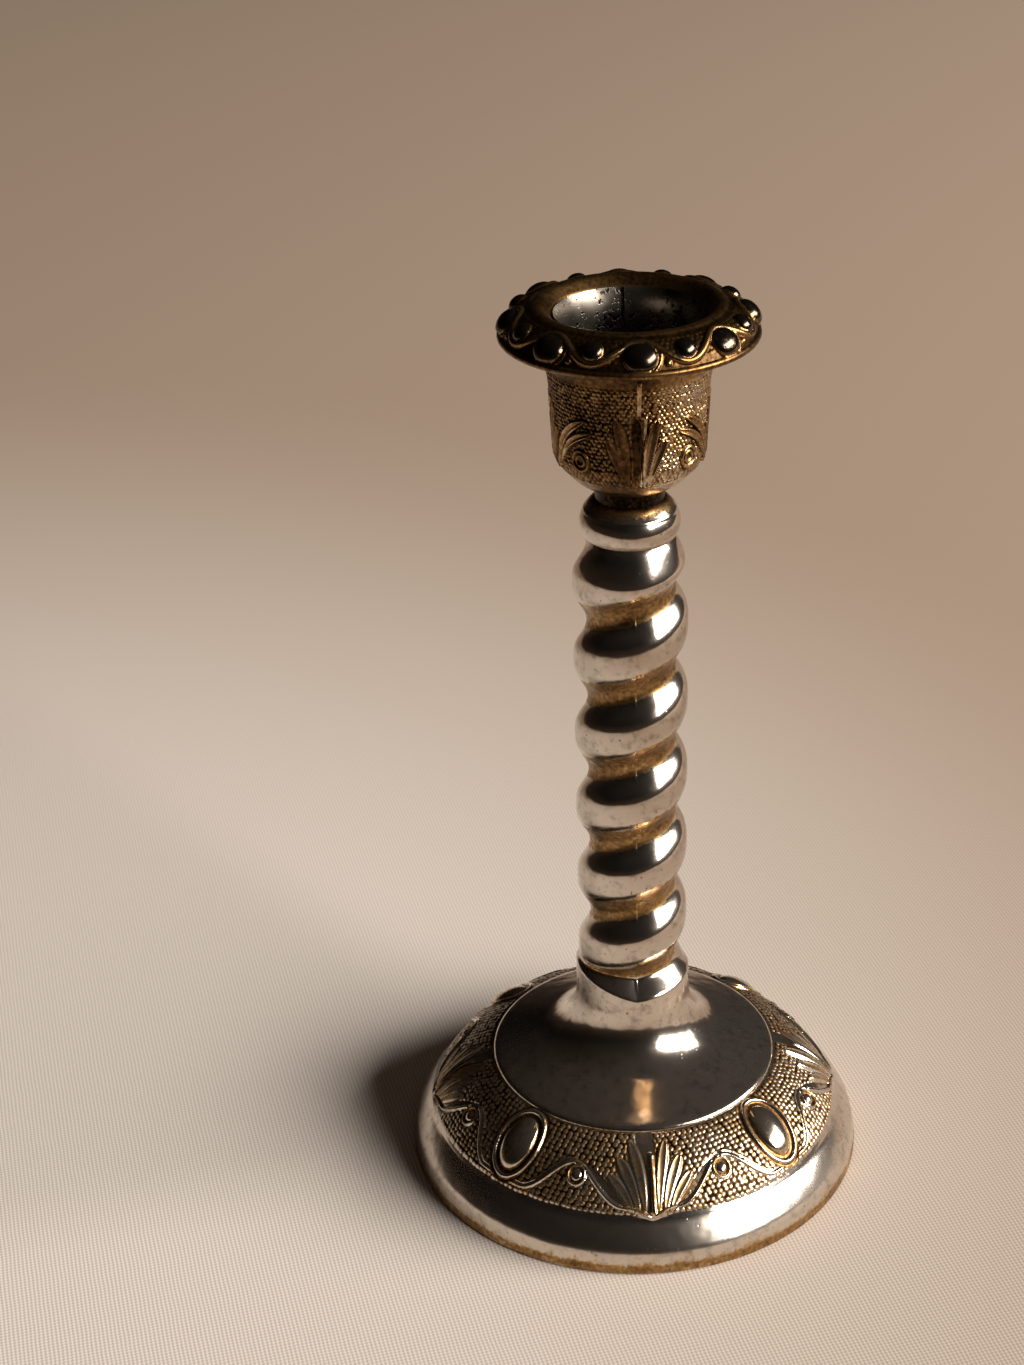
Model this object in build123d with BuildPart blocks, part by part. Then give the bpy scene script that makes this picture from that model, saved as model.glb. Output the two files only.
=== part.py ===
from build123d import *
import os
from math import asin, cos, degrees, hypot, radians, sin, sqrt, tan

# A cast and plated candle holder with a spiral column, in millimetres.
# The axis is Z, the table is at Z = 0, and the mould seam runs down the front, at -Y.

# Sleeve that holds the candle, flared at the top over the throat of the pan
candle_bore_r = 11.0
sleeve_wall = 0.35
sleeve_depth = 15.3
sleeve_collar_h = 1.0
sleeve_flare_r = 10.6
sleeve_flare_angle = 25.0
sleeve_seam_gap = 0.6
sleeve_fit_gap = 0.15
swage_gap = 0.05

# Drip pan
pan_r = 21.0
pan_lip_t = 1.3
pan_drop = 4.9
pan_crest_r = 14.8
pan_crest_h = 7.0
pan_crest_w = 2.2
pan_crest_round = 0.45
pan_slope_bulge = 0.55
pan_seat_w = 0.4
pan_seat_h = 0.5
pan_hollow = 2.0
drop_bead_count = 8
drop_bead_length = 5.2
drop_bead_width = 4.2
drop_bead_sink = 1.1
drop_bead_at_share = 0.52
round_bead_r = 1.6
round_bead_sink = 0.7
round_bead_at_share = 0.34

# Candle cup
cup_h = 24.1
cup_foot_r = 5.6
cup_bowl_r = 12.1
cup_bowl_h = 6.6
cup_bowl_bulge = 0.9
cup_body_r = 12.6
cup_body_h = 9.6
cup_mouth_r = 14.1
cup_cove_depth = 0.25
cup_floor_gap = 0.3
cup_key_w = 0.35
cup_key_share = 0.7

# Column
neck_r = 5.75
neck_h = 2.0
knop_r = 8.35
knop_h = 6.9
knop_crest_h = 3.1
knop_groove_r = 7.45
knop_top_bulge = 0.5
knop_under_bulge = 0.35
twist_h = 86.4
twist_pitch = 14.42
twist_crest_r = 9.9
twist_groove_r = 7.4
twist_start_angle = 25.0
twist_fullness = 1.8
twist_point_count = 12
twist_fade_h = 6.0
ring_h = 2.0
ring_shoulder_h = 3.4
column_bore_r = 4.6
column_roof_t = 6.0

# Foot
foot_r = 41.35
rim_h = 3.4
rim_straight_h = 1.0
rim_taper = 1.45
rim_bulge = 0.35
dome_r = 25.0
plate_r = 25.17
plate_edge_h = 19.55
plate_slope = 20.0
ridge_w = 0.7
ridge_step = 0.9
flare_r = 10.6
collar_r = 10.2
collar_h = 1.5
foot_wall = 2.0
foot_roof_t = 3.0
rim_wall = 2.6
board_ledge_w = 1.4
cabochon_count = 4
cabochon_length = 11.5
cabochon_width = 8.4
cabochon_sink = 2.9
cabochon_at_share = 0.4
boss_r = 1.5
boss_sink = 0.75
boss_at_share = 0.58
boss_angle = 23.0

# Spigots that seat the castings in each other, flat on one side so that the seams line up
spigot_r = 7.0
spigot_h = 4.0
stub_r = 3.8
stub_h = 2.0
key_flat_share = 0.82
spigot_gap = 0.1

# Tie rod and what is on it
rod_r = 2.0
rod_hole_gap = 0.3
rod_grip = 5.0
rod_point = 0.5
rod_tail = 2.0
thread_gap = 0.05
washer_r = 6.0
washer_t = 1.0
lock_washer_r = 3.6
lock_washer_t = 1.0
lock_washer_slit = 0.8
nut_across_flats = 7.0
nut_h = 3.2
nut_chamfer = 0.4

# Closing board and felt
felt_t = 1.0
felt_inset = 0.8
felt_round = 0.3
board_t = 1.5
board_gap = 0.2
rim_lift = 0.2

# One overrun serves all cuts
overrun = 1.0

# Levels above the table, from the foot upwards
flare_turn = 90 - plate_slope
ledge_z = felt_t + board_t
rim_top_z = rim_lift + rim_h
plate_edge_z = rim_lift + plate_edge_h
flare_end_r = collar_r + flare_r * (1 - cos(radians(flare_turn)))
flare_end_z = plate_edge_z + (plate_r - flare_end_r) * tan(radians(plate_slope))
flare_z = flare_end_z + flare_r * sin(radians(flare_turn))
collar_z = flare_z + collar_h
socket_z = collar_z - spigot_h - spigot_gap
roof_z = socket_z - foot_roof_t
ring_z = collar_z + ring_h
knop_z = ring_z + twist_h
neck_z = knop_z + knop_h
cup_z = neck_z + neck_h
cup_bowl_z = cup_z + cup_bowl_h
cup_body_z = cup_bowl_z + cup_body_h
pan_z = cup_z + cup_h
pan_rim_z = pan_z + pan_crest_h - pan_drop
sleeve_z = pan_z - sleeve_depth
cup_floor_z = sleeve_z - cup_floor_gap
rod_top_z = cup_z + stub_h + spigot_gap + rod_grip
lock_washer_z = roof_z - washer_t - lock_washer_t
nut_z = lock_washer_z - nut_h

# Radii that follow from the sleeve, the rod and the rim
sleeve_r = candle_bore_r + sleeve_wall
pocket_r = sleeve_r + sleeve_fit_gap
pan_bore_r = sleeve_r + swage_gap
rod_hole_r = rod_r + rod_hole_gap
rim_top_r = foot_r - rim_taper
rim_inner_r = foot_r - rim_wall
ledge_r = rim_inner_r - board_ledge_w
board_r = rim_inner_r - board_gap


def bowed(start, end, bulge):
    """Middle of an arc from start to end that bows to the left of the way by bulge."""
    chord = hypot(end[0] - start[0], end[1] - start[1])
    return (
        (start[0] + end[0]) / 2 - (end[1] - start[1]) / chord * bulge,
        (start[1] + end[1]) / 2 + (end[0] - start[0]) / chord * bulge,
    )


def arc_centre(start, end, radius):
    """Centre of an arc that bows to the left of the way from start to end."""
    chord = hypot(end[0] - start[0], end[1] - start[1])
    return bowed(start, end, -sqrt(radius**2 - (chord / 2) ** 2))


def on_circle(centre, point, radius):
    """The point of a circle that lies towards another point."""
    reach = hypot(point[0] - centre[0], point[1] - centre[1])
    return (
        centre[0] + (point[0] - centre[0]) * radius / reach,
        centre[1] + (point[1] - centre[1]) * radius / reach,
    )


def slope_plane(spot, out, angle):
    """A plane at a radius and height, turned about the axis: X down the slope, Z outwards."""
    turn_x = cos(radians(angle))
    turn_y = sin(radians(angle))
    return Plane(
        origin=(spot[0] * turn_x, spot[0] * turn_y, spot[1]),
        x_dir=(out[1] * turn_x, out[1] * turn_y, -out[0]),
        z_dir=(out[0] * turn_x, out[0] * turn_y, out[1]),
    )


def keyed_disc(radius, flat):
    """A disc in the sketch at hand with a flat at the back."""
    Circle(radius)
    with Locations((0, flat + radius)):
        Rectangle(2 * radius, 2 * radius, mode=Mode.SUBTRACT)


# The dome of the foot, from the ridge of the plate down to the rim
dome_start = (plate_r + ridge_w, plate_edge_z - ridge_step)
dome_end = (rim_top_r, rim_top_z)
dome_centre = arc_centre(dome_start, dome_end, dome_r)
dome_middle = on_circle(dome_centre, bowed(dome_start, dome_end, 0), dome_r)


def dome_plane(share, angle):
    """A plane on the dome, a share of the way down from the ridge."""
    way = (dome_end[0] - dome_start[0], dome_end[1] - dome_start[1])
    chord_spot = (dome_start[0] + way[0] * share, dome_start[1] + way[1] * share)
    spot = on_circle(dome_centre, chord_spot, dome_r)
    out = ((spot[0] - dome_centre[0]) / dome_r, (spot[1] - dome_centre[1]) / dome_r)
    return slope_plane(spot, out, angle)


# Oval cabochon of the foot, long side along X and sunk below its own plane
with BuildPart() as cabochon:
    with BuildSketch(Plane.XY.offset(-cabochon_sink)) as cabochon_half:
        with BuildLine():
            oval = EllipticalCenterArc((0, 0), cabochon_length / 2, cabochon_width / 2, 0, arc_size=180)
            Line(oval @ 1, oval @ 0)
        make_face()
    revolve(axis=Axis((0, 0, -cabochon_sink), (1, 0, 0)))

# Hollow cast foot with its collar
rim_corner = (foot_r, rim_lift + rim_straight_h)
flare_centre_r = collar_r + flare_r
inner_flare_r = flare_r + foot_wall
inner_dome_r = dome_r - foot_wall
roof_turn = degrees(asin((flare_z - roof_z) / inner_flare_r))
plate_under = (
    plate_r - foot_wall * sin(radians(plate_slope)),
    plate_edge_z - foot_wall * cos(radians(plate_slope)),
)
inner_dome_start = on_circle(dome_centre, dome_start, inner_dome_r)
inner_dome_end = (ledge_r, dome_centre[1] + sqrt(inner_dome_r**2 - (ledge_r - dome_centre[0]) ** 2))
inner_dome_middle = on_circle(dome_centre, bowed(inner_dome_start, inner_dome_end, 0), inner_dome_r)


def inner_flare(turn):
    """A point of the flare's inner wall."""
    return (
        flare_centre_r - inner_flare_r * cos(radians(turn)),
        flare_z - inner_flare_r * sin(radians(turn)),
    )


with BuildPart() as foot:
    with BuildSketch(Plane.XZ) as foot_outline:
        with BuildLine():
            Line((0, rim_lift), (0, collar_z))
            Line((0, collar_z), (collar_r, collar_z))
            Line((collar_r, collar_z), (collar_r, flare_z))
            flare = JernArc((collar_r, flare_z), (0, -1), flare_r, flare_turn)
            Line(flare @ 1, (plate_r, plate_edge_z))
            Line((plate_r, plate_edge_z), dome_start)
            ThreePointArc(dome_start, dome_middle, dome_end)
            ThreePointArc(dome_end, bowed(dome_end, rim_corner, rim_bulge), rim_corner)
            Line(rim_corner, (foot_r, rim_lift))
            Line((foot_r, rim_lift), (0, rim_lift))
        make_face()
    revolve(axis=Axis.Z)
    for i in range(cabochon_count):
        spray_angle = 360 / cabochon_count * i - 90
        with Locations(dome_plane(cabochon_at_share, spray_angle + 180 / cabochon_count)):
            add(cabochon.part)
        for side in (-1, 1):
            with Locations(dome_plane(boss_at_share, spray_angle + side * boss_angle).offset(-boss_sink)):
                Sphere(boss_r)
    with BuildSketch(Plane.XZ) as foot_hollow:
        with BuildLine():
            Line((0, rim_lift - overrun), (0, roof_z))
            Line((0, roof_z), inner_flare(roof_turn))
            ThreePointArc(
                inner_flare(roof_turn),
                inner_flare((roof_turn + flare_turn) / 2),
                inner_flare(flare_turn),
            )
            Line(inner_flare(flare_turn), plate_under)
            Line(plate_under, inner_dome_start)
            ThreePointArc(inner_dome_start, inner_dome_middle, inner_dome_end)
            Line(inner_dome_end, (ledge_r, ledge_z))
            Line((ledge_r, ledge_z), (rim_inner_r, ledge_z))
            Line((rim_inner_r, ledge_z), (rim_inner_r, rim_lift - overrun))
            Line((rim_inner_r, rim_lift - overrun), (0, rim_lift - overrun))
        make_face()
    revolve(axis=Axis.Z, mode=Mode.SUBTRACT)
    with BuildSketch(Plane.XY.offset(socket_z)) as foot_socket:
        keyed_disc(spigot_r + spigot_gap, spigot_r * key_flat_share + spigot_gap)
    extrude(amount=spigot_h + spigot_gap + overrun, mode=Mode.SUBTRACT)
    with Locations((0, 0, socket_z)):
        Hole(rod_hole_r, depth=foot_roof_t + overrun)
foot.part.label = "foot"

# Spiral column: one strand, rising to the right as seen from outside
with BuildPart() as twist_column:
    with BuildLine() as column_axis:
        Line((0, 0, ring_z), (0, 0, knop_z))
    with BuildLine() as strand:
        Helix(twist_pitch, twist_h, twist_crest_r, center=(0, 0, ring_z))
    with BuildSketch(Plane.XY.offset(ring_z)) as cam:
        with BuildLine():
            cam_points = []
            for i in range(twist_point_count):
                turn = 360 / twist_point_count * i
                low_share = ((1 - cos(radians(turn))) / 2) ** twist_fullness
                reach = twist_crest_r - (twist_crest_r - twist_groove_r) * low_share
                angle = radians(twist_start_angle + turn)
                cam_points.append((reach * cos(angle), reach * sin(angle)))
            Spline(cam_points, periodic=True)
        make_face()
    sweep(path=column_axis.edge(), binormal=strand.edge())
    # The strand runs out under the knop
    with BuildSketch(Plane.XZ) as twist_envelope:
        with BuildLine():
            Polyline(
                (0, ring_z),
                (twist_crest_r + overrun, ring_z),
                (twist_crest_r + overrun, knop_z - twist_fade_h),
                (twist_crest_r, knop_z - twist_fade_h),
                (knop_groove_r, knop_z),
                (0, knop_z),
                close=True,
            )
        make_face()
    revolve(axis=Axis.Z, mode=Mode.INTERSECT)
    # Plain ring below the strand, and the knop and neck above it
    knop_crest = (knop_r, knop_z + knop_crest_h)
    with BuildSketch(Plane.XZ) as ring_outline:
        with BuildLine():
            Polyline(
                (0, collar_z),
                (collar_r, collar_z),
                (collar_r, ring_z),
                (twist_groove_r, ring_z + ring_shoulder_h),
                (0, ring_z + ring_shoulder_h),
                close=True,
            )
        make_face()
    revolve(axis=Axis.Z)
    with BuildSketch(Plane.XZ) as knop_outline:
        with BuildLine():
            Line((0, knop_z), (knop_groove_r, knop_z))
            ThreePointArc(
                (knop_groove_r, knop_z),
                bowed((knop_groove_r, knop_z), knop_crest, -knop_under_bulge),
                knop_crest,
            )
            ThreePointArc(knop_crest, bowed(knop_crest, (neck_r, neck_z), -knop_top_bulge), (neck_r, neck_z))
            Line((neck_r, neck_z), (neck_r, cup_z))
            Line((neck_r, cup_z), (0, cup_z))
            Line((0, cup_z), (0, knop_z))
        make_face()
    revolve(axis=Axis.Z)
    # Spigot into the foot and stub into the cup
    with BuildSketch(Plane.XY.offset(collar_z)) as spigot_section:
        keyed_disc(spigot_r, spigot_r * key_flat_share)
    extrude(amount=-spigot_h)
    with BuildSketch(Plane.XY.offset(cup_z)) as stub_section:
        keyed_disc(stub_r, stub_r * key_flat_share)
    extrude(amount=stub_h)
    # Hollow core, and the hole for the tie rod above it
    with BuildSketch(Plane.XY.offset(collar_z - spigot_h - overrun)) as core_section:
        Circle(column_bore_r)
    extrude(amount=neck_z - column_roof_t - collar_z + spigot_h + overrun, mode=Mode.SUBTRACT)
    with Locations((0, 0, cup_z + stub_h)):
        Hole(rod_hole_r, depth=stub_h + neck_h + column_roof_t + overrun)
twist_column.part.label = "twist_column"

# Cast candle cup with a pocket for the sleeve
with BuildPart() as candle_cup:
    with BuildSketch(Plane.XZ) as cup_outline:
        cup_foot = (cup_foot_r, cup_z)
        cup_bowl = (cup_bowl_r, cup_bowl_z)
        cup_body = (cup_body_r, cup_body_z)
        cup_mouth = (cup_mouth_r, pan_z)
        with BuildLine():
            Line((0, cup_z), cup_foot)
            ThreePointArc(cup_foot, bowed(cup_foot, cup_bowl, -cup_bowl_bulge), cup_bowl)
            Line(cup_bowl, cup_body)
            ThreePointArc(cup_body, bowed(cup_body, cup_mouth, cup_cove_depth), cup_mouth)
            Line(cup_mouth, (0, pan_z))
            Line((0, pan_z), (0, cup_z))
        make_face()
    revolve(axis=Axis.Z)
    with BuildSketch(Plane.XY.offset(cup_floor_z)) as pocket_section:
        Circle(pocket_r)
    extrude(amount=pan_z - cup_floor_z, mode=Mode.SUBTRACT)
    # Rib at the back that the open seam of the sleeve slides on
    rib_in_r = pocket_r - sleeve_fit_gap - sleeve_wall * cup_key_share
    rib_out_r = (pocket_r + cup_bowl_r) / 2
    with BuildSketch(Plane.XY.offset(cup_floor_z)) as rib_section:
        with Locations((0, (rib_in_r + rib_out_r) / 2)):
            Rectangle(cup_key_w, rib_out_r - rib_in_r)
    extrude(amount=pan_z - cup_floor_z)
    with BuildSketch(Plane.XY.offset(cup_z)) as stub_recess:
        keyed_disc(stub_r + spigot_gap, stub_r * key_flat_share + spigot_gap)
    extrude(amount=stub_h + spigot_gap, mode=Mode.SUBTRACT)
    with Locations((0, 0, rod_top_z)):
        Hole(rod_r + thread_gap, depth=rod_top_z - cup_z)
candle_cup.part.label = "candle_cup"

# Rolled sheet sleeve with an open seam at the back
with BuildPart() as socket_liner:
    with BuildSketch(Plane.XZ) as sleeve_outline:
        flare_start_z = pan_z + sleeve_collar_h
        with BuildLine():
            Line((candle_bore_r, sleeve_z), (candle_bore_r, flare_start_z))
            inside = JernArc(
                (candle_bore_r, flare_start_z), (0, 1), sleeve_flare_r, -sleeve_flare_angle
            )
            outside = JernArc(
                (sleeve_r, flare_start_z), (0, 1), sleeve_flare_r - sleeve_wall, -sleeve_flare_angle
            )
            Line(inside @ 1, outside @ 1)
            Line((sleeve_r, flare_start_z), (sleeve_r, sleeve_z))
            Line((sleeve_r, sleeve_z), (candle_bore_r, sleeve_z))
        make_face()
    revolve(axis=Axis.Z)
    with BuildSketch(Plane.XY.offset(sleeve_z)) as seam_section:
        with Locations((0, pan_crest_r / 2)):
            Rectangle(sleeve_seam_gap, pan_crest_r)
    extrude(amount=sleeve_depth + pan_crest_h, mode=Mode.SUBTRACT)
socket_liner.part.label = "socket_liner"

# Drop-shaped bead of the pan, long side along X and sunk below its own plane
with BuildPart() as drop_bead:
    with BuildSketch(Plane.XY.offset(-drop_bead_sink)) as drop_half:
        with BuildLine():
            drop = EllipticalCenterArc((0, 0), drop_bead_length / 2, drop_bead_width / 2, 0, arc_size=180)
            Line(drop @ 1, drop @ 0)
        make_face()
    revolve(axis=Axis((0, 0, -drop_bead_sink), (1, 0, 0)))

# Cast drip pan, hollow underneath, drooping from the crest to the rim
pan_crest_z = pan_z + pan_crest_h
crest_low_z = pan_crest_z - pan_crest_round
crest_in = (pan_crest_r - pan_crest_w / 2, crest_low_z)
crest_out = (pan_crest_r + pan_crest_w / 2, crest_low_z)
pan_rim_top = (pan_r - pan_lip_t / 2, pan_rim_z + pan_lip_t / 2)
pan_rim_under = (pan_r - pan_lip_t / 2, pan_rim_z - pan_lip_t / 2)
pan_seat_edge = (cup_mouth_r + pan_seat_w, pan_z + pan_seat_h)


def pan_plane(share, angle):
    """A plane on the slope of the pan, a share of the way from the crest to the rim."""
    way = (pan_rim_top[0] - crest_out[0], pan_rim_top[1] - crest_out[1])
    reach = hypot(way[0], way[1])
    out = (-way[1] / reach, way[0] / reach)
    rise = 4 * pan_slope_bulge * share * (1 - share)
    spot = (
        crest_out[0] + way[0] * share + out[0] * rise,
        crest_out[1] + way[1] * share + out[1] * rise,
    )
    return slope_plane(spot, out, angle)


with BuildPart() as drip_pan:
    with BuildSketch(Plane.XZ) as pan_outline:
        with BuildLine():
            throat_z = pan_z + sleeve_collar_h
            Line((pan_bore_r, pan_z), (pan_bore_r, throat_z))
            throat = JernArc(
                (pan_bore_r, throat_z),
                (0, 1),
                sleeve_flare_r - sleeve_wall - swage_gap,
                -sleeve_flare_angle,
            )
            Line(throat @ 1, crest_in)
            ThreePointArc(crest_in, (pan_crest_r, pan_crest_z), crest_out)
            ThreePointArc(crest_out, bowed(crest_out, pan_rim_top, pan_slope_bulge), pan_rim_top)
            ThreePointArc(pan_rim_top, (pan_r, pan_rim_z), pan_rim_under)
            ThreePointArc(pan_rim_under, bowed(pan_rim_under, pan_seat_edge, -pan_hollow), pan_seat_edge)
            Line(pan_seat_edge, (cup_mouth_r, pan_z))
            Line((cup_mouth_r, pan_z), (pan_bore_r, pan_z))
        make_face()
    revolve(axis=Axis.Z)
    for i in range(drop_bead_count):
        bead_angle = 360 / drop_bead_count * i - 90
        with Locations(pan_plane(drop_bead_at_share, bead_angle)):
            add(drop_bead.part)
        between_angle = bead_angle + 180 / drop_bead_count
        with Locations(pan_plane(round_bead_at_share, between_angle).offset(-round_bead_sink)):
            Sphere(round_bead_r)
drip_pan.part.label = "drip_pan"

# Tie rod from the nut inside the foot up into the cup
with BuildPart() as tie_rod:
    with BuildSketch(Plane.XY.offset(nut_z - rod_tail)) as rod_section:
        Circle(rod_r)
    extrude(amount=rod_top_z - nut_z + rod_tail)
    chamfer(tie_rod.edges().filter_by(GeomType.CIRCLE), length=rod_point)
tie_rod.part.label = "tie_rod"

# Flat washer under the roof of the foot
with BuildPart() as washer:
    with BuildSketch(Plane.XY.offset(roof_z - washer_t)) as washer_section:
        Circle(washer_r)
        Circle(rod_hole_r, mode=Mode.SUBTRACT)
    extrude(amount=washer_t)
washer.part.label = "washer"

# Split spring washer
with BuildPart() as lock_washer:
    with BuildSketch(Plane.XY.offset(lock_washer_z)) as lock_section:
        Circle(lock_washer_r)
        Circle(rod_hole_r, mode=Mode.SUBTRACT)
        with Locations((lock_washer_r, 0)):
            Rectangle(2 * lock_washer_r, lock_washer_slit, mode=Mode.SUBTRACT)
    extrude(amount=lock_washer_t)
lock_washer.part.label = "lock_washer"

# Hexagon nut
with BuildPart() as tie_nut:
    with BuildSketch(Plane.XY.offset(nut_z)) as nut_section:
        RegularPolygon(nut_across_flats / 2, side_count=6, major_radius=False)
    extrude(amount=nut_h)
    chamfer(tie_nut.edges().filter_by(Plane.XY), length=nut_chamfer)
    with Locations((0, 0, nut_z + nut_h)):
        Hole(rod_r + thread_gap, depth=nut_h)
tie_nut.part.label = "tie_nut"

# Fibre board that closes the foot
with BuildPart() as base_board:
    with BuildSketch(Plane.XY.offset(felt_t)) as board_section:
        Circle(board_r)
    extrude(amount=board_t)
base_board.part.label = "base_board"

# Felt under the board, standing a little below the rim
with BuildPart() as felt_pad:
    with BuildSketch() as felt_section:
        Circle(board_r - felt_inset)
    extrude(amount=felt_t)
    fillet(felt_pad.edges().group_by(Axis.Z)[0], radius=felt_round)
felt_pad.part.label = "felt_pad"

pieces = (
    foot,
    twist_column,
    candle_cup,
    drip_pan,
    socket_liner,
    tie_rod,
    washer,
    lock_washer,
    tie_nut,
    base_board,
    felt_pad,
)
os.makedirs("parts", exist_ok=True)
for piece in pieces:
    export_step(piece.part, f"parts/{piece.part.label}.step")
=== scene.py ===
import math

import bpy
import numpy as np
from mathutils import Matrix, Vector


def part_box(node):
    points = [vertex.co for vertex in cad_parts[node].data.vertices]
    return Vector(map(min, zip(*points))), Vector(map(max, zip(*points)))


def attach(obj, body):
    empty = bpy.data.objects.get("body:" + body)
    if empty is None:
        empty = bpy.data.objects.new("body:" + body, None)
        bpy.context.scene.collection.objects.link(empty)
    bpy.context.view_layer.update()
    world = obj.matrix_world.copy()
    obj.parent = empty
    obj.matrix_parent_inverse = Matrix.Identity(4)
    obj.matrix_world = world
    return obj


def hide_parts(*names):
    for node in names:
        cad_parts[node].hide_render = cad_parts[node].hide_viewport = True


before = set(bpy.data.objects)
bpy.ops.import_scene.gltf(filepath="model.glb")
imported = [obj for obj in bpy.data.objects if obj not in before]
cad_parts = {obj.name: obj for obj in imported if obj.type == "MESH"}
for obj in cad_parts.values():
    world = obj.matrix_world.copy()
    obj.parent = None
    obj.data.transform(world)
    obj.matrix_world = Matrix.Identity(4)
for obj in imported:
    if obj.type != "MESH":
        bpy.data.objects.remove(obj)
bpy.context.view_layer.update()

# Foot, upper part: collar, flare and polished plate of the hollow foot.
# Zinc alloy cast in two half moulds, plated and buffed on a wheel, so it is smooth and mirror bright.
# The column stands in its socket, and the tie rod passes through its roof.
mm = 0.001
foot_low, foot_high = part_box("foot")
collar_r = 10.2
collar_h = 1.5
collar_z = foot_high.z / mm
flare_r = 10.6
flare_turn = 70.0
plate_r = 25.17
plate_slope = 20.0
ridge_w = 0.7
ridge_step = 0.9
ridge_bulge = 0.12
foot_wall = 2.0
roof_t = 3.0
socket_r = 7.1
socket_h = 4.1
rod_hole_r = 2.3
edge_round = 0.12
crown_steps = 288


def arc(centre, radius, start, end, count):
    """Points of an arc of an outline, from one angle to another, in degrees."""
    turns = np.radians(np.linspace(start, end, count))
    return [(centre[0] + radius * math.cos(t), centre[1] + radius * math.sin(t)) for t in turns]


def straight(start, end, count):
    """Points of a straight stretch of an outline, without its start."""
    shares = np.linspace(0, 1, count + 1)[1:]
    return [tuple(np.add(start, np.subtract(end, start) * s)) for s in shares]


def spun(name, outline, steps):
    """A closed outline of (radius, height) points in mm, spun about the axis to a closed skin."""
    bpy.ops.object.select_all(action="DESELECT")
    bpy.ops.mesh.primitive_circle_add(vertices=len(outline), radius=mm)
    piece = bpy.context.object
    piece.name = name
    for vertex, (radius, height) in zip(piece.data.vertices, outline):
        vertex.co = (radius * mm, 0, height * mm)
    lathe = piece.modifiers.new("lathe", "SCREW")
    lathe.angle = math.tau
    lathe.steps = steps
    lathe.render_steps = steps
    bpy.ops.object.modifier_apply(modifier=lathe.name)
    bpy.ops.object.mode_set(mode="EDIT")
    bpy.ops.mesh.select_all(action="SELECT")
    bpy.ops.mesh.remove_doubles(threshold=0.001 * mm)
    bpy.ops.mesh.normals_make_consistent(inside=False)
    bpy.ops.object.mode_set(mode="OBJECT")
    bpy.ops.object.shade_smooth_by_angle(angle=math.radians(40))
    return piece


def places(piece):
    """Radius, height and turn from the front seam of every point, in mm and degrees."""
    spots = np.empty(len(piece.data.vertices) * 3)
    piece.data.vertices.foreach_get("co", spots)
    x, y, z = spots.reshape(-1, 3).T / mm
    return np.hypot(x, y), z, np.degrees(np.arctan2(x, -y))


def worn(piece, hollow, as_cast=0.0):
    """Keeps how far each point lies out of reach of the buffing wheel, with painted shade added in places,
    and how rough it was left, 0 to 1.
    """
    for name, values in (("hollow", hollow), ("as_cast", as_cast + 0 * hollow)):
        kept = piece.data.attributes.new(name, "FLOAT", "POINT")
        kept.data.foreach_set("value", np.clip(values, 0, 1).astype(np.float32))


def bowed(start, end, bulge, count):
    """Points of a flat arc that bows to the right of its way by bulge, without its start."""
    way = np.subtract(end, start)
    side = np.array((way[1], -way[0])) / np.linalg.norm(way)
    shares = np.linspace(0, 1, count + 1)[1:]
    return [tuple(np.add(start, way * s) + side * 4 * bulge * s * (1 - s)) for s in shares]


flare_z = collar_z - collar_h
flare_centre = (collar_r + flare_r, flare_z)
flare_end = arc(flare_centre, flare_r, 180, 180 + flare_turn, 2)[1]
plate_edge = (plate_r, flare_end[1] - (plate_r - flare_end[0]) * math.tan(math.radians(plate_slope)))
ridge_edge = (plate_r + edge_round * 0.6, plate_edge[1] - edge_round * 0.5)
dome_start = (plate_r + ridge_w, plate_edge[1] - ridge_step)
dome_r = 25.0
rim_top = (39.9, 3.6)
half_chord = np.subtract(rim_top, dome_start) / 2
to_centre = math.sqrt(dome_r**2 - half_chord @ half_chord) / np.linalg.norm(half_chord)
dome_centre = np.add(dome_start, half_chord) + np.array((half_chord[1], -half_chord[0])) * to_centre
inner_start = dome_centre + np.subtract(dome_start, dome_centre) * (1 - foot_wall / dome_r)
plate_lean = np.array((math.sin(math.radians(plate_slope)), math.cos(math.radians(plate_slope))))
plate_under = tuple(np.array(plate_edge) - foot_wall * plate_lean)
socket_z = collar_z - socket_h
roof_z = socket_z - roof_t
roof_turn = math.degrees(math.asin((flare_z - roof_z) / (flare_r + foot_wall)))
crown_outline = [
    (socket_r, socket_z),
    (socket_r, collar_z),
    (collar_r, collar_z),
    *straight((collar_r, collar_z), (collar_r, flare_z), 4),
    *arc(flare_centre, flare_r, 180, 180 + flare_turn, 36)[1:],
    *straight(flare_end, (plate_edge[0] - edge_round, plate_edge[1] + edge_round * 0.36), 10),
    ridge_edge,
    *bowed(ridge_edge, dome_start, -ridge_bulge, 5),
    tuple(inner_start),
    plate_under,
    *arc(flare_centre, flare_r + foot_wall, 180 + flare_turn, 180 + roof_turn, 8),
    (rod_hole_r, roof_z),
    (rod_hole_r, socket_z),
]
foot_crown = spun("foot_crown", crown_outline, crown_steps)
height = places(foot_crown)[1]
worn(foot_crown, 0.2 * (height < plate_edge[1] - 0.3))


def linear(code):
    """An sRGB hex colour as linear RGBA."""
    parts = [int(code[i : i + 2], 16) / 255 for i in (1, 3, 5)]
    return [p / 12.92 if p <= 0.04045 else ((p + 0.055) / 1.055) ** 2.4 for p in parts] + [1]


def add_node(tree, kind, inputs=(), **settings):
    """Adds a node, sets its properties, and sets its inputs or links them to a socket."""
    made = tree.nodes.new(kind)
    for name, value in settings.items():
        setattr(made, name, value)
    for name, value in dict(inputs).items():
        if isinstance(value, bpy.types.NodeSocket):
            tree.links.new(value, made.inputs[name])
        else:
            made.inputs[name].default_value = value
    return made


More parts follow.
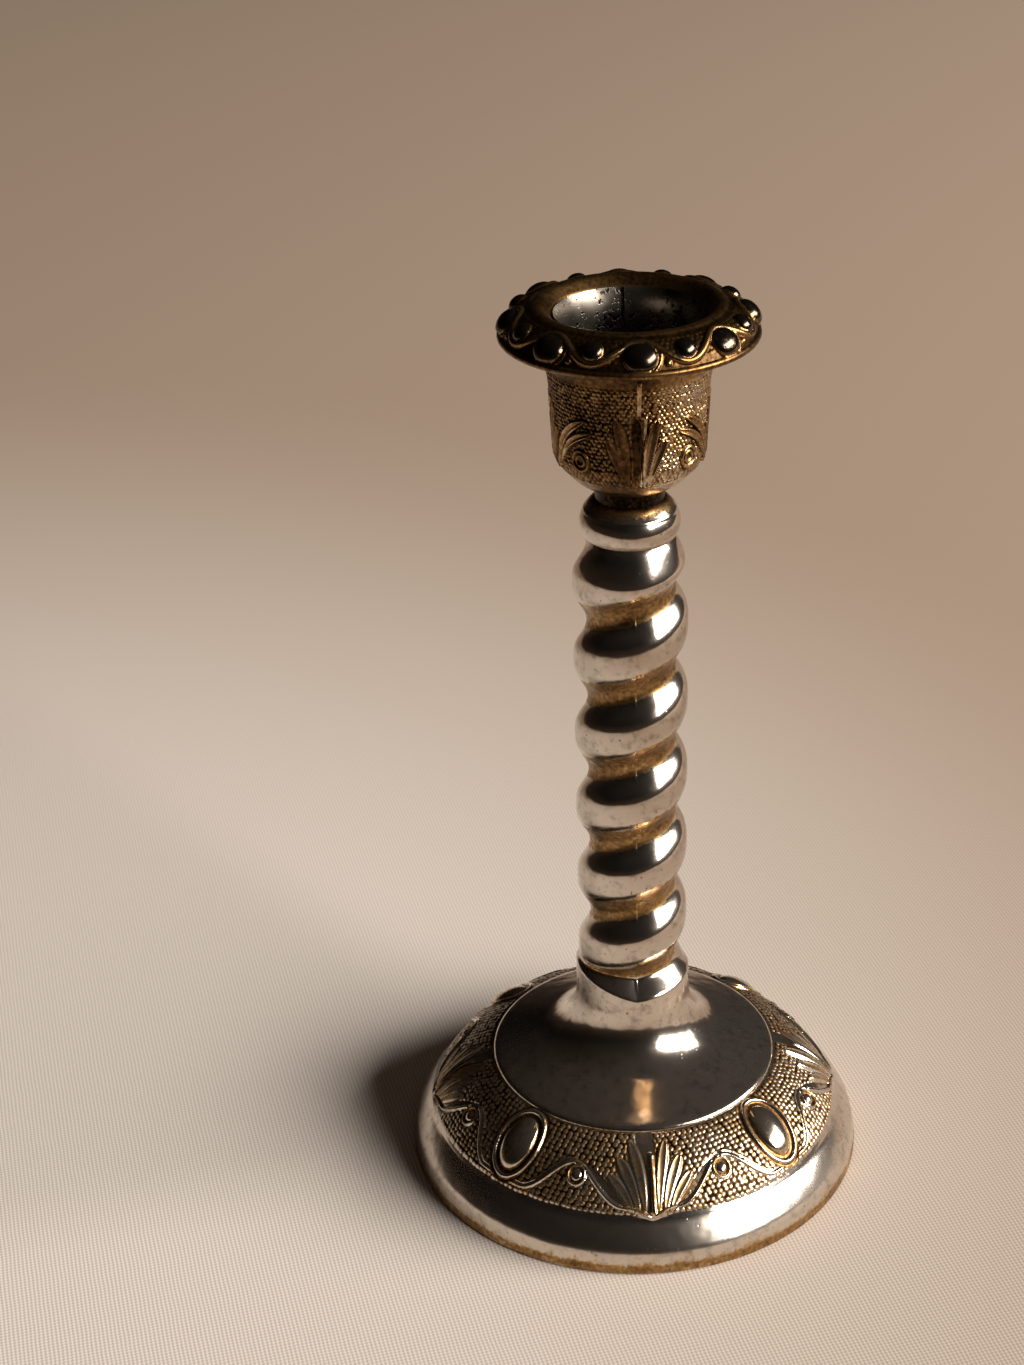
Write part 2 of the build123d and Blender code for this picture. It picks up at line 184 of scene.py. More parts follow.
def new_material(name):
    """An empty node material and its output node."""
    made = bpy.data.materials.new(name)
    made.use_nodes = True
    made.node_tree.nodes.clear()
    return made, made.node_tree, made.node_tree.nodes.new("ShaderNodeOutputMaterial")


# Silver plate over a brass flash on zinc: mirror bright where it is buffed, brass where the plate is
# thin or was never reached by the wheel, brown to nearly black in the deepest corners, with a thin veil
# of tarnish, small pits and dust.
cloud_mm = 6.0
grain_mm = 0.7
pit_mm = 0.9
ripple_mm = 3.5
film_mm = 1.8


def plated(name, smooth, bright, thin, brass, brown, deep):
    """Plated metal that runs through five colours as the hollow attribute grows from 0 to 1."""
    made, tree, surface = new_material(name)
    spot = add_node(tree, "ShaderNodeTexCoord").outputs["Object"]
    hollow = add_node(tree, "ShaderNodeAttribute", attribute_name="hollow").outputs["Fac"]
    cloud = add_node(
        tree, "ShaderNodeTexNoise", {"Vector": spot, "Scale": 1 / (cloud_mm * mm), "Detail": 4}
    ).outputs["Fac"]
    grain = add_node(
        tree, "ShaderNodeTexNoise", {"Vector": spot, "Scale": 1 / (grain_mm * mm), "Detail": 3}
    ).outputs["Fac"]
    drift = add_node(
        tree, "ShaderNodeMapRange", {0: cloud, 1: 0.3, 2: 0.7, 3: -0.12, 4: 0.12}
    ).outputs[0]
    edge = add_node(
        tree, "ShaderNodeMapRange", {0: grain, 1: 0.3, 2: 0.7, 3: -0.14, 4: 0.14}
    ).outputs[0]
    stain = add_node(tree, "ShaderNodeMath", {0: hollow, 1: drift}, operation="ADD").outputs[0]
    tarnish = add_node(tree, "ShaderNodeMath", {0: stain, 1: edge}, operation="ADD").outputs[0]
    tone = add_node(tree, "ShaderNodeValToRGB", {0: tarnish})
    tone.color_ramp.elements[0].color = linear(bright)
    tone.color_ramp.elements[0].position = 0.2
    tone.color_ramp.elements[1].color = linear(deep)
    for share, code in ((0.32, thin), (0.42, brass), (0.72, brown)):
        tone.color_ramp.elements.new(share).color = linear(code)
    cell = add_node(tree, "ShaderNodeTexVoronoi", {"Vector": spot, "Scale": 1 / (pit_mm * mm)})
    pit = add_node(
        tree, "ShaderNodeMapRange", {0: cell.outputs["Distance"], 1: 0.08, 2: 0.22, 3: 1, 4: 0}
    ).outputs[0]
    chance = add_node(tree, "ShaderNodeSeparateColor", {0: cell.outputs["Color"]}).outputs[0]
    odds = add_node(
        tree, "ShaderNodeMapRange", {0: cloud, 1: 0.38, 2: 0.62, 3: 0.97, 4: 0.7}
    ).outputs[0]
    few = add_node(tree, "ShaderNodeMath", {0: chance, 1: odds}, operation="GREATER_THAN").outputs[0]
    speck = add_node(tree, "ShaderNodeMath", {0: pit, 1: few}, operation="MULTIPLY").outputs[0]
    film = add_node(
        tree,
        "ShaderNodeTexNoise",
        {"Vector": spot, "Scale": 1 / (film_mm * mm), "Detail": 6, "Roughness": 0.7},
    ).outputs["Fac"]
    veil = add_node(tree, "ShaderNodeMapRange", {0: film, 1: 0.5, 2: 0.74, 3: 0, 4: 0.6}).outputs[0]
    veiled = add_node(
        tree, "ShaderNodeMix", {0: veil, 6: tone.outputs[0], 7: linear("#43372b")}, data_type="RGBA"
    ).outputs[2]
    colour = add_node(
        tree, "ShaderNodeMix", {0: speck, 6: veiled, 7: linear("#33261a")}, data_type="RGBA"
    ).outputs[2]
    dull = add_node(
        tree, "ShaderNodeMapRange", {0: tarnish, 1: 0.25, 2: 0.5, 3: smooth, 4: 0.34}
    ).outputs[0]
    dull = add_node(
        tree, "ShaderNodeMath", {0: veil, 1: 0.08, 2: dull}, operation="MULTIPLY_ADD"
    ).outputs[0]
    as_cast = add_node(tree, "ShaderNodeAttribute", attribute_name="as_cast").outputs["Fac"]
    dull = add_node(
        tree, "ShaderNodeMath", {0: as_cast, 1: 0.14, 2: dull}, operation="MULTIPLY_ADD"
    ).outputs[0]
    rough = add_node(
        tree, "ShaderNodeMath", {0: speck, 1: 0.12, 2: dull}, operation="MULTIPLY_ADD"
    ).outputs[0]
    ripple = add_node(
        tree, "ShaderNodeTexNoise", {"Vector": spot, "Scale": 1 / (ripple_mm * mm), "Detail": 1}
    ).outputs["Fac"]
    dent = add_node(
        tree, "ShaderNodeMath", {0: speck, 1: -0.2, 2: ripple}, operation="MULTIPLY_ADD"
    ).outputs[0]
    bump = add_node(
        tree, "ShaderNodeBump", {"Height": dent, "Strength": 0.5, "Distance": 0.16 * mm}
    ).outputs[0]
    facing = add_node(tree, "ShaderNodeNewGeometry").outputs["Normal"]
    upward = add_node(tree, "ShaderNodeSeparateXYZ", {0: facing}).outputs[2]
    clean = add_node(
        tree, "ShaderNodeMapRange", {0: upward, 1: 0.4, 2: 1.0, 3: 0.99, 4: 0.96}
    ).outputs[0]
    shader = add_node(
        tree,
        "ShaderNodeBsdfPrincipled",
        {"Base Color": colour, "Metallic": clean, "Roughness": rough, "Normal": bump},
    )
    tree.links.new(shader.outputs[0], surface.inputs[0])
    return made


silver_plate = plated(
    "silver_plate_over_brass_flash", 0.14, "#d2c7ba", "#c4ae8c", "#a88557", "#614628", "#150e08"
)
foot_crown.data.materials.append(silver_plate)
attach(foot_crown, "stick")
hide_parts("foot")

# Foot, skirt: the ornamented band, the polished slope under it and the rim, cut in two at the mould seam.
# Part of the same casting: four leaf sprays, four oval cabochons between them, a running scroll with
# ringed bosses and a ground of small beads, all cast from the mould and only lightly buffed.
slope_end = (40.7, 4.2)
slope_bulge = 0.13
rim_bulge = 0.1
rim_wall = 2.6
ledge_w = 1.4
ledge_z = 2.5
foot_r = foot_high.x / mm
foot_z = foot_low.z / mm
skirt_steps = 1440
band_length = 15.8
band_rows = 110
spray_count = 4
foot_bead_pitch = 1.05
foot_bead_rise = 0.2


def dome_level(down):
    """Angle on the dome's circle, in degrees, a length down from the ridge."""
    top = math.degrees(math.atan2(dome_start[1] - dome_centre[1], dome_start[0] - dome_centre[0]))
    return top - np.degrees(down / dome_r)


def dome_reach(down):
    """Radius of the dome a length down from the ridge."""
    return dome_centre[0] + dome_r * np.cos(np.radians(dome_level(down)))


band_end_angle = dome_level(band_length)
band_end = arc(dome_centre, dome_r, band_end_angle, band_end_angle, 1)[0]
rim_inner_r = foot_r - rim_wall
ledge_r = rim_inner_r - ledge_w
inner_r = dome_r - foot_wall
inner_end_angle = math.degrees(math.acos((ledge_r - dome_centre[0]) / inner_r))
skirt_outline = [
    *arc(dome_centre, dome_r, dome_level(0), band_end_angle, band_rows),
    *bowed(band_end, slope_end, -slope_bulge, 7),
    *bowed(slope_end, (foot_r, foot_z + edge_round), -rim_bulge, 6),
    (foot_r - edge_round, foot_z),
    (rim_inner_r, foot_z),
    (rim_inner_r, ledge_z),
    (ledge_r, ledge_z),
    *arc(dome_centre, inner_r, inner_end_angle, dome_level(0), 5),
]
foot_skirt = spun("foot_skirt", skirt_outline, skirt_steps)


def chance_of(row, column):
    """A steady number from 0 to 1 for each bead of the ground."""
    return np.modf(np.abs(np.sin(row * 12.9898 + column * 78.233) * 43758.5453))[0]


def beads(turn, down, reach_at, pitch):
    """Height share of a ground of small beads in uneven staggered rows round the axis."""
    best = np.zeros_like(down)
    row_gap = 0.85 * pitch
    middle = np.round(down / row_gap)
    for step in (-1, 0, 1):
        row = middle + step
        length_round = math.tau * reach_at(row * row_gap)
        count = np.round(length_round / pitch)
        place = turn / 360 * count + 0.5 * np.mod(row, 2)
        nearest = np.round(place)
        stray = chance_of(row, np.mod(nearest, count)) - 0.5
        lift = chance_of(row + 31, np.mod(nearest, count)) - 0.5
        across = (place - nearest - 0.3 * stray) * length_round / count
        along = down - (row + 0.35 * lift) * row_gap
        size = 0.53 * pitch * (1 + 0.2 * stray)
        best = np.maximum(best, 1 - (across**2 + along**2) / size**2)
    return np.clip(best, 0, 1) ** 0.65


def rounded(distance, half_width):
    """Height share of a rounded wire, from its centreline out to its half width."""
    return np.sqrt(np.clip(1 - (distance / half_width) ** 2, 0, 1))


def step_down(value, start, end):
    """Falls smoothly from 1 to 0 between two values."""
    share = np.clip((value - start) / (end - start), 0, 1)
    return 1 - share * share * (3 - 2 * share)


def leaf(across, down, base, tip, width, bow):
    """How far a point lies along a leaf from its base to its round tip, and from its midrib to its edge."""
    way = np.subtract(tip, base)
    length = np.hypot(*way)
    share = ((across - base[0]) * way[0] + (down - base[1]) * way[1]) / length**2
    side = ((across - base[0]) * way[1] - (down - base[1]) * way[0]) / length
    inside = np.clip(share, 0.001, 0.999)
    half = width / 2 * 1.43 * inside**0.6 * np.sqrt(1 - inside**4)
    off = np.abs(side - 4 * bow * inside * (1 - inside)) / np.maximum(half, 0.05)
    return inside, np.where((share < 0) | (share > 1), 3.0, off)


radius, height, turn = places(foot_skirt)
from_centre = np.hypot(radius - dome_centre[0], height - dome_centre[1])
level = np.degrees(np.arctan2(height - dome_centre[1], radius - dome_centre[0]))
down = np.radians(dome_level(0) - level) * dome_r
on_band = (np.abs(from_centre - dome_r) < 0.01) & (down > -0.01) & (down < band_length + 0.01)
spray_turn = 360 / spray_count
fold = np.abs(np.mod(turn + spray_turn / 2, spray_turn) - spray_turn / 2)
across = radius * np.radians(fold)

# The scroll starts at the tip of a spray, climbs over a ringed boss and dips under the oval
scroll_low = 13.5
scroll_crest = 6.7
scroll_crest_turn = 24.0
scroll_tip = 15.4
rise_turn = 16.5
fall_turn = 14.5
reach_turn = np.where(fold < scroll_crest_turn, rise_turn, fall_turn)
wave = np.clip(np.abs(fold - scroll_crest_turn) / reach_turn, 0, 1)
scroll_down = scroll_low - (scroll_low - scroll_crest) * (1 + np.cos(np.pi * wave)) / 2
start_share = np.clip(1 - fold / (scroll_crest_turn - rise_turn), 0, 1)
scroll_down = scroll_down + (scroll_tip - scroll_low) * start_share**2
steep = (scroll_low - scroll_crest) / 2 * np.pi * np.sin(np.pi * wave)
steep = steep / (radius * np.radians(reach_turn))
off_scroll = (scroll_down - down) / np.sqrt(1 + steep**2)
scroll = rounded(off_scroll, 0.42)
ribbon_w = 0.7 + 1.1 * step_down(fold, 12, 22)
ribbon = (off_scroll > -0.5) & (off_scroll < ribbon_w)

# Three leaves, a little dished, on each side of a stem, on a ridge like a roof
spray_leaves = (
    ((1.2, 14.8), (3.0, 1.9), 2.3, 0.3),
    ((2.2, 14.8), (5.4, 4.8), 2.5, 0.4),
    ((3.2, 14.6), (7.2, 8.0), 2.3, 0.4),
)
stem_off_seam = 0.45
spray = np.zeros_like(down)
off_spray = np.full_like(down, 3.0)
for base, tip, width, bow in spray_leaves:
    along, off = leaf(across, down, base, tip, width, bow)
    dished = 1 - 0.3 * (1 - np.minimum(off / 0.6, 1) ** 2)
    spray = np.maximum(spray, step_down(off, 0.5, 1.15) * dished * along**0.25)
    off_spray = np.minimum(off_spray, off)
stem_side = radius * np.radians(np.mod(turn + spray_turn / 2, spray_turn) - spray_turn / 2) - stem_off_seam
stem = np.clip(1 - np.abs(stem_side) / 0.8, 0, 1)
stem = stem * step_down(-down, -4.6, -3.8) * step_down(down, 15.0, 15.8)
spray_roof = np.clip(1 - across / 4.5, 0, 1) * step_down(-down, -8, -1) * step_down(down, 14.0, 15.8)

# Oval cabochon in a channel with a wire round it, and the ringed boss
oval_down = 6.9
oval_half = (4.15, 6.3)
gem_half = (3.1, 5.05)
oval_across = radius * np.radians(spray_turn / 2 - fold)
oval_reach = np.hypot(oval_across / oval_half[0], (down - oval_down) / oval_half[1])
gem_reach = np.hypot(oval_across / gem_half[0], (down - oval_down) / gem_half[1])
oval_wire = rounded((oval_reach - 1) * np.mean(oval_half), 0.42)
gem = np.sqrt(np.clip(1 - gem_reach**2, 0, 1))
boss_turn = 22.5
boss_down = 8.8
boss_ring_r = 1.5
boss_across = radius * np.radians(fold - boss_turn)
boss_reach = np.hypot(boss_across, (down - boss_down) / 1.12)
boss_ring = rounded(boss_reach - boss_ring_r, 0.3)
boss = rounded(boss_reach, 1.05)

ground = step_down(-down, -0.5, -0.2) * step_down(down, 14.0, 15.0)
ground = ground * step_down(-oval_reach, -1.22, -1.14) * ~ribbon
ground = ground * step_down(-boss_reach, -2.1, -1.9) * step_down(-off_spray, -1.35, -1.15)
left_of_seam = turn * np.cos(np.radians(turn)) < 0
stem_bare = np.where(left_of_seam, 1.9, 0.9)
ground = ground * step_down(stem_bare - across, -0.4, 0)
bead = beads(turn, down, dome_reach, foot_bead_pitch)
rise = foot_bead_rise * bead * ground
channel = np.clip(1 - ((off_scroll - ribbon_w / 2) / (ribbon_w / 2)) ** 2, 0, 1)
rise = rise - 0.3 * channel
second_wire = rounded(off_scroll - ribbon_w, 0.3) * step_down(-fold, -25, -22)
rise = np.maximum(rise, 0.45 * scroll * (oval_reach > 1.06))
rise = np.maximum(rise, 0.35 * second_wire * (oval_reach > 1.06))
leaf_lift = np.where(left_of_seam, 0.22, 0.55)
rise = np.maximum(rise, leaf_lift * spray)
rise = np.maximum(rise, 0.4 * stem)
rise = np.where((oval_reach > 1) & (oval_reach < 1.16), -0.12, rise)
rise = np.where(oval_reach < 1, np.maximum(1.2 * gem, -0.1), rise)
rise = np.maximum(rise, 0.5 * oval_wire)
rise = np.where(boss_reach < 1.9, -0.1, rise)
rise = np.where(boss_reach < boss_ring_r, 0.6 * boss, rise)
rise = np.maximum(rise, 0.45 * boss_ring)
rise = rise + 0.45 * spray_roof
rise = np.where(on_band, rise * step_down(down, 14.8, band_length), 0)
out_r = (radius - dome_centre[0]) / dome_r
out_z = (height - dome_centre[1]) / dome_r


def set_places(piece, radius, height, turn):
    """Puts every point at a radius, height and turn from the front seam."""
    angle = np.radians(turn)
    spots = np.stack((radius * np.sin(angle), -radius * np.cos(angle), height), axis=1) * mm
    piece.data.vertices.foreach_set("co", spots.astype(np.float32).ravel())
    piece.data.update()


set_places(foot_skirt, radius + out_r * rise, height + out_z * rise, turn)
skirt_hollow = 0.22 + 0.76 * ground * step_down(bead, 0.3, 0.85)
skirt_hollow = np.where((oval_reach > 1.05) & (oval_reach < 1.2), 0.66, skirt_hollow)
skirt_hollow = np.where((oval_reach < 0.95) & (gem < 0.25), 0.66, skirt_hollow)
skirt_hollow = np.where((boss_reach < boss_ring_r) & (boss < 0.3), 0.6, skirt_hollow)
skirt_hollow = np.where(off_spray < 1, 0.16 + 0.24 * step_down(off_spray, 0.3, 0.75), skirt_hollow)
skirt_hollow = np.where((off_spray > 1.05) & (off_spray < 1.4), 0.75, skirt_hollow)
skirt_hollow = np.where(oval_wire > 0.5, 0.12, skirt_hollow)
skirt_hollow = np.where(on_band & (down < 14.6), skirt_hollow, 0.1)
rim_wear = 0.48 * step_down(height, 1.6, 2.8) * (radius > slope_end[0])
left_rough = np.where(on_band, np.maximum(ground, 0.6 * (off_spray < 1.2)), 0.35)
worn(foot_skirt, np.maximum(skirt_hollow, rim_wear), left_rough)
foot_skirt.data.materials.append(silver_plate)


def halves(piece):
    """Cuts a piece in two along the seam of its moulds and closes both halves."""
    bpy.ops.object.mode_set(mode="EDIT")
    bpy.ops.mesh.select_mode(type="FACE")
    bpy.ops.mesh.select_all(action="DESELECT")
    bpy.ops.object.mode_set(mode="OBJECT")
    middles = np.empty(len(piece.data.polygons) * 3)
    piece.data.polygons.foreach_get("center", middles)
    piece.data.polygons.foreach_set("select", middles[::3] > 0)
    bpy.ops.object.mode_set(mode="EDIT")
    bpy.ops.mesh.separate(type="SELECTED")
    bpy.ops.object.mode_set(mode="OBJECT")
    both = list(bpy.context.selected_objects)
    for half in both:
        bpy.ops.object.select_all(action="DESELECT")
        half.select_set(True)
        bpy.context.view_layer.objects.active = half
        bpy.ops.object.mode_set(mode="EDIT")
        bpy.ops.mesh.select_all(action="SELECT")
        bpy.ops.mesh.fill_holes(sides=0)
        bpy.ops.mesh.normals_make_consistent(inside=False)
        bpy.ops.object.mode_set(mode="OBJECT")
        bpy.ops.object.shade_smooth_by_angle(angle=math.radians(75))
    return both


for half in halves(foot_skirt):
    side = "left" if half == foot_skirt else "right"
    half.name = f"foot_skirt_{side}"
    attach(half, "stick")
    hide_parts("foot")

# Spiral column: one strand wound up the shaft, with a plain ring below and a knop and neck above.
# A hollow zinc casting from two half moulds, plated and buffed along the strand, so that the groove
# between the turns keeps its brass colour and a thin fin is left where the moulds met.
column_low, column_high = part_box("twist_column")
cup_low, cup_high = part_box("candle_cup")
cup_z = cup_low.z / mm
knop_z = 122.52
knop_r = 8.35
knop_crest_z = 125.62
knop_groove_r = 7.45
knop_line_z = 127.5
knop_line_h = 0.1
knop_line_half = 0.15
neck_r = 5.75
neck_z = cup_z - 2.0
strand_r = 9.9
groove_r = 7.4
strand_pitch = 14.42
strand_level = 106.9
strand_turn = 85.0
strand_fullness = 1.45
fade_h = 6.0
shoulder_low_z = 35.5
shoulder_slope = 0.95
fin_h = 0.2
fin_half = 0.16
core_r = 4.6
core_top_z = neck_z - 6.0
spigot_r = 7.0
stub_r = 3.8
column_steps = 256
strand_rows = 246
column_outline = [
    (spigot_r, collar_z),
    (collar_r, collar_z),
    *straight((collar_r, collar_z), (strand_r, knop_z), strand_rows),
    *bowed((knop_groove_r, knop_z), (knop_r, knop_crest_z), 0.35, 12),
    *bowed((knop_r, knop_crest_z), (neck_r, neck_z), 0.5, 20),
    (neck_r, cup_z),
    (stub_r, cup_z),
    (stub_r, column_high.z / mm),
    (rod_hole_r, column_high.z / mm),
    (rod_hole_r, core_top_z),
    (core_r, core_top_z),
    (core_r, column_low.z / mm),
    (spigot_r, column_low.z / mm),
]
twist_column = spun("spiral_column", column_outline, column_steps)
radius, height, turn = places(twist_column)


def smooth_max(a, b, soft):
    """The larger of two values, with a soft change from one to the other."""
    return (a + b + np.sqrt((a - b) ** 2 + soft**2)) / 2


on_strand = (radius > neck_r + 0.5) & (height > collar_z + 0.01) & (height < knop_z + 0.001)
on_strand = on_strand & (radius > spigot_r + 0.2)
phase = np.radians(turn - strand_turn - 360 * (height - strand_level) / strand_pitch)
groove_share = ((1 - np.cos(phase)) / 2) ** strand_fullness
strand = strand_r - (strand_r - groove_r) * groove_share
fade = knop_groove_r + (strand_r - knop_groove_r) * np.clip((knop_z - height) / fade_h, 0, 1) ** 0.8
strand = -smooth_max(-strand, -fade, 0.35)
shoulder_z = shoulder_low_z + np.abs(np.sin(np.radians(turn))) * np.where(turn < 0, 3.0, 1.4)
shoulder = collar_r - np.clip(height - shoulder_z, 0, 9) * shoulder_slope
strand = np.where(height < shoulder_z, collar_r, smooth_max(strand, shoulder, 0.25))
seam_off = np.minimum(np.abs(turn), 180 - np.abs(turn))
fin = fin_h * np.exp(-((radius * np.radians(seam_off) / fin_half) ** 2))
fin = fin * np.clip(5 * groove_share - 3.6, 0, 1)
strand = np.minimum(strand, collar_r) + fin * (height > shoulder_z + 0.5)
knop_line = knop_line_h * np.exp(-(((height - knop_line_z) / knop_line_half) ** 2))
knop_line = knop_line * (radius > neck_r + 0.4)
new_radius = np.where(on_strand, strand, radius + knop_line)
set_places(twist_column, new_radius, height, turn)
lee = np.mod(phase / math.tau, 1) * strand_pitch
lee_start = np.where(turn > 0, 1.8, 2.8)
groove_brass = 0.54 * step_down(-(lee - lee_start), -1.2, 0) * step_down(lee, 8.0, 9.3)
groove_brass = groove_brass * on_strand * step_down(-height, -40, -38) * step_down(height, 113, 117)
# Brass shows on the knop above its line; the neck under the cup is painted nearly black, which is painted
# shade.
neck_brass_and_painted_shade = 0.46 * step_down(-height, -knop_line_z - 1.6, -knop_line_z + 1.2)
neck_brass_and_painted_shade = neck_brass_and_painted_shade + 0.6 * step_down(-height, -neck_z - 0.2, -neck_z + 0.8)
worn(twist_column, np.maximum(groove_brass, neck_brass_and_painted_shade))
twist_column.data.materials.append(silver_plate)
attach(twist_column, "stick")
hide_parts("twist_column")

# Candle cup: a small cast bowl with leaf sprays, ringed bosses and a ground of beads.
# Zinc from two half moulds like the foot, plated but hardly buffed, so most of it shows yellow brown.
# The tie rod screws up into its floor. The sleeve drops into its pocket, its seam over a rib at the back.
cup_foot_r = 5.6
cup_bowl = (12.1, cup_z + 6.6)
cup_body = (12.6, cup_z + 16.2)
cup_mouth = (14.1, cup_high.z / mm)
cup_floor_z = 139.92
pocket_r = 11.5
rod_bore_r = 2.05
cup_steps = 640
cup_outline = [
    (cup_foot_r, cup_z),
    *bowed((cup_foot_r, cup_z), cup_bowl, 1.2, 28),
    *straight(cup_bowl, cup_body, 66),
    *bowed(cup_body, cup_mouth, -0.25, 46),
    (pocket_r, cup_mouth[1]),
    (pocket_r, cup_floor_z),
    (rod_bore_r, cup_floor_z),
    (rod_bore_r, cup_z),
]
candle_cup = spun("candle_cup_body", cup_outline, cup_steps)
radius, height, turn = places(candle_cup)


def facing_out(piece, turn):
    """How far the skin faces away from the axis, and how far up, at every point."""
    normals = np.empty(len(piece.data.vertices) * 3)
    piece.data.vertex_normals.foreach_get("vector", normals)
    x, y, z = normals.reshape(-1, 3).T
    return x * np.sin(np.radians(turn)) - y * np.cos(np.radians(turn)), z


out_r, out_z = facing_out(candle_cup, turn)
outside = (radius > cup_foot_r) & (out_r > 0.05) & (height > cup_z + 0.05)
outside = outside & (height < cup_mouth[1] - 0.05)
side_turn = np.abs(turn)
fold = np.minimum(side_turn, 180 - side_turn)
bowl_r = 12.4
across = bowl_r * np.radians(fold)
up = height - cup_z


def cup_reach(level):
    """Radius that the rows of beads on the cup are spaced on."""
    return np.full_like(level, bowl_r)


# Leaf spray at the front, the back and both sides, two leaves over each boss
cup_bead_pitch = 0.8
cup_bead_rise = 0.3
cup_leaves = (
    ((6.0, 4.4), (14.5, 16.0), 1.9, -0.3, 0.85),
    ((8.5, 4.4), (21.0, 12.4), 1.7, -0.3, 0.7),
    ((66.0, 5.6), (39.0, 15.2), 1.5, 1.7, 0.6),
    ((62.0, 7.2), (33.0, 13.2), 1.3, 1.2, 0.6),
    ((84.0, 4.4), (75.5, 16.0), 1.9, 0.3, 0.85),
    ((81.5, 4.4), (69.0, 12.4), 1.7, 0.3, 0.7),
)
spray = np.zeros_like(up)
off_spray = np.full_like(up, 3.0)
for base, tip, width, bow, dish in cup_leaves:
    base_spot = (bowl_r * math.radians(base[0]), base[1])
    tip_spot = (bowl_r * math.radians(tip[0]), tip[1])
    along, off = leaf(across, up, base_spot, tip_spot, width, bow)
    dished = 1 - dish * along * (1 - np.minimum(off / 0.7, 1) ** 2)
    spray = np.maximum(spray, step_down(off, 0.75, 1.2) * dished)
    off_spray = np.minimum(off_spray, off)
recess_turn = np.minimum(fold, 90 - fold)
stem_turn = 3.6 + 2.7 * np.clip((up - 4.4) / 12, 0, 1)
stem_off = bowl_r * np.radians(recess_turn - stem_turn)
stem = rounded(stem_off, 0.36) * step_down(-up, -4.8, -4.0) * step_down(up, 16.6, 17.2)
boss_spot = (bowl_r * math.radians(44.0), 8.1)
boss_reach = np.hypot((across - boss_spot[0]) / 0.95, (up - boss_spot[1]) / 1.05)
boss_ring = rounded(boss_reach - 1.6, 0.3)
inner_ring = rounded(boss_reach - 0.85, 0.3)
recess = step_down(recess_turn - stem_turn, -2.2, -0.6) * step_down(-up, -5.4, -4.6)
recess = recess * step_down(up + 0.1 * recess_turn**2, 15.8, 17.2)
ground = step_down(-up, -4.4, -3.6) * step_down(up, 20.6, 21.4)
ground = ground * step_down(-off_spray, -1.3, -1.1) * step_down(-boss_reach, -2.2, -1.9) * (1 - recess)
bead = beads(turn, up, cup_reach, cup_bead_pitch)
rise = cup_bead_rise * bead * ground
faint = np.where((turn < 0) & (turn > -30), 0.25, 1.0) * (1 - 0.45 * step_down(-fold, -75, -62))
rise = np.maximum(rise, 0.85 * spray * faint)
rise = np.maximum(rise, 0.85 * stem * faint)
rise = np.where(boss_reach < 1.8, 0.1, rise)
rise = np.maximum(rise, 0.5 * boss_ring)
rise = np.maximum(rise, 0.4 * inner_ring)
seam_strip = step_down(np.abs(turn - 1.7), 1.4, 1.8) * step_down(-up, -17.0, -16.4) * step_down(up, 22, 23)
rise = np.where(outside, np.maximum(rise - 0.35 * recess, 0.5 * seam_strip), 0)
set_places(candle_cup, radius + out_r * rise, height + out_z * rise, turn)
# Painted shade: left of the seam the cup is painted darker, on the right side lighter.
cup_patina_and_painted_shade = 0.66 - 0.28 * step_down(-turn, -20, -5)
cup_patina_and_painted_shade = cup_patina_and_painted_shade + ground * (0.36 - 0.5 * bead)
# Painted shade: the plain band under the pan's lip is painted darker.
cup_patina_and_painted_shade = cup_patina_and_painted_shade + 0.14 * step_down(-up, -21.6, -20.8)
# Left of the seam the fainter leaves and stem come out darker too: painted shade.
cup_patina_and_painted_shade = np.where(off_spray < 1, 0.34 + 0.5 * (1 - spray * faint), cup_patina_and_painted_shade)
cup_patina_and_painted_shade = np.where(stem * faint > 0.5, 0.3, cup_patina_and_painted_shade)
cup_patina_and_painted_shade = np.where((off_spray > 1) & (off_spray < 1.35), 0.95, cup_patina_and_painted_shade)
cup_patina_and_painted_shade = np.where((boss_reach < 2.2) & (rise < 0.3), 0.85, cup_patina_and_painted_shade)
cup_patina_and_painted_shade = np.maximum(cup_patina_and_painted_shade, 0.92 * recess)
cup_patina_and_painted_shade = np.where(seam_strip > 0.4, 0.4, cup_patina_and_painted_shade)
# Painted shade: the lowest band of the cup, over the neck, is painted dark.
cup_patina_and_painted_shade = np.maximum(cup_patina_and_painted_shade, 0.7 * step_down(up, 1.0, 2.6))
worn(candle_cup, np.where(outside, cup_patina_and_painted_shade, 0.6))
candle_cup.data.materials.append(silver_plate)
key_w = 0.35
key_in_r = 11.1
key_h = cup_mouth[1] - cup_floor_z
bpy.ops.mesh.primitive_cube_add(size=1)
key_rib = bpy.context.object
# Painted shade: the rib is painted dark brown, like the shade in the pocket behind the sleeve's seam.
worn(key_rib, np.full(8, 0.8))
key_rib.data.materials.append(silver_plate)
key_rib.dimensions = (key_w * mm, (pocket_r - key_in_r + key_w) * mm, key_h * mm)
key_rib.location = (0, (pocket_r + key_in_r + key_w) / 2 * mm, (cup_floor_z + key_h / 2) * mm)
bpy.ops.object.transform_apply(location=True, rotation=True, scale=True)
candle_cup.select_set(True)
bpy.context.view_layer.objects.active = candle_cup
bpy.ops.object.join()
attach(candle_cup, "stick")
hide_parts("candle_cup")

